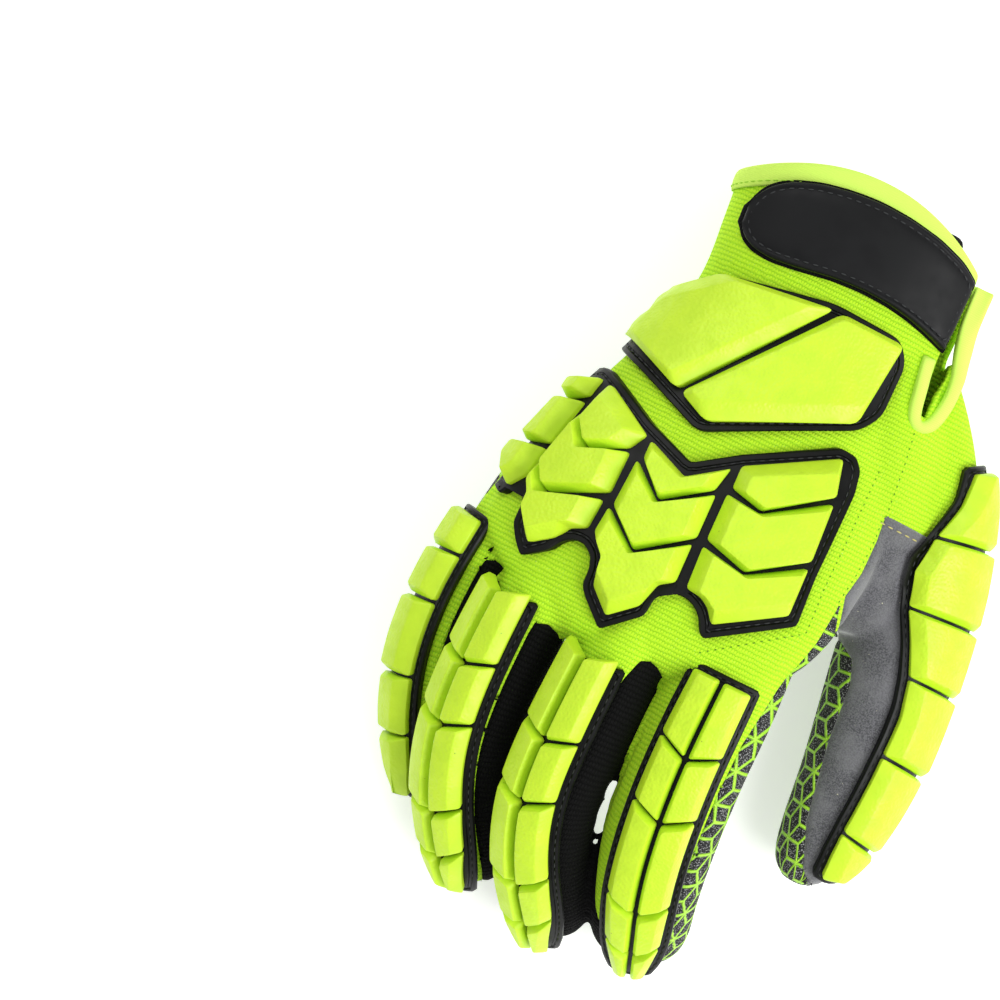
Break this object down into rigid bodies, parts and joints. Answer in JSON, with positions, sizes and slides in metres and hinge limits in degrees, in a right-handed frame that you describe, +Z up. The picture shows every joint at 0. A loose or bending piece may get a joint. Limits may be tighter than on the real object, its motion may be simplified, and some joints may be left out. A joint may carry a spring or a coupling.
{
  "type": "impact glove",
  "caption": "Right-hand knit work glove with moulded rubber impact guards on knuckles, wrist, fingers and thumb, a strapped cuff and a pull tab.",
  "frame": {"origin": "on the table plane below the middle of the glove", "axes": "+Y towards the fingertips, +X towards the little-finger side, +Z up out of the back of the hand"},
  "size_m": [0.157, 0.2386, 0.0658],
  "materials": {
    "lime_knit": "matte",
    "heathered_knit": "matte",
    "black_knit": "matte",
    "grey_suede": "matte",
    "lime_binding": "matte",
    "black_strap": "matte",
    "black_rubber": "satin",
    "lime_rubber": "satin"
  },
  "bodies": {
    "root": {"back_panel": "lime_knit", "palm_panel": "heathered_knit", "thumb_patch": "grey_suede", "gusset_1": "black_knit", "gusset_2": "black_knit", "gusset_3": "black_knit", "cuff_binding": "lime_binding", "slit_binding": "lime_binding", "wrist_strap": "black_strap", "pull_tab": "black_strap", "wrist_plate": "black_rubber", "wrist_block_1": "lime_rubber", "wrist_block_2": "lime_rubber", "knuckle_plate": "black_rubber", "knuckle_block_1": "lime_rubber", "knuckle_block_2": "lime_rubber", "knuckle_block_3": "lime_rubber", "knuckle_block_4": "lime_rubber", "knuckle_block_5": "lime_rubber", "knuckle_block_6": "lime_rubber", "knuckle_block_7": "lime_rubber", "knuckle_block_8": "lime_rubber", "knuckle_block_9": "lime_rubber", "knuckle_block_10": "lime_rubber", "knuckle_block_11": "lime_rubber", "knuckle_block_12": "lime_rubber", "index_plate": "black_rubber", "index_block_1": "lime_rubber", "index_block_2": "lime_rubber", "index_block_3": "lime_rubber", "index_block_4": "lime_rubber", "index_block_5": "lime_rubber", "middle_plate": "black_rubber", "middle_block_1": "lime_rubber", "middle_block_2": "lime_rubber", "middle_block_3": "lime_rubber", "middle_block_4": "lime_rubber", "middle_block_5": "lime_rubber", "ring_plate": "black_rubber", "ring_block_1": "lime_rubber", "ring_block_2": "lime_rubber", "ring_block_3": "lime_rubber", "ring_block_4": "lime_rubber", "ring_block_5": "lime_rubber", "pinky_plate": "black_rubber", "pinky_block_1": "lime_rubber", "pinky_block_2": "lime_rubber", "pinky_block_3": "lime_rubber", "pinky_block_4": "lime_rubber", "pinky_block_5": "lime_rubber", "thumb_plate": "black_rubber", "thumb_block_1": "lime_rubber", "thumb_block_2": "lime_rubber", "thumb_block_3": "lime_rubber", "thumb_block_4": "lime_rubber", "thumb_block_5": "lime_rubber", "thumb_block_6": "lime_rubber"}
  },
  "joints": []
}
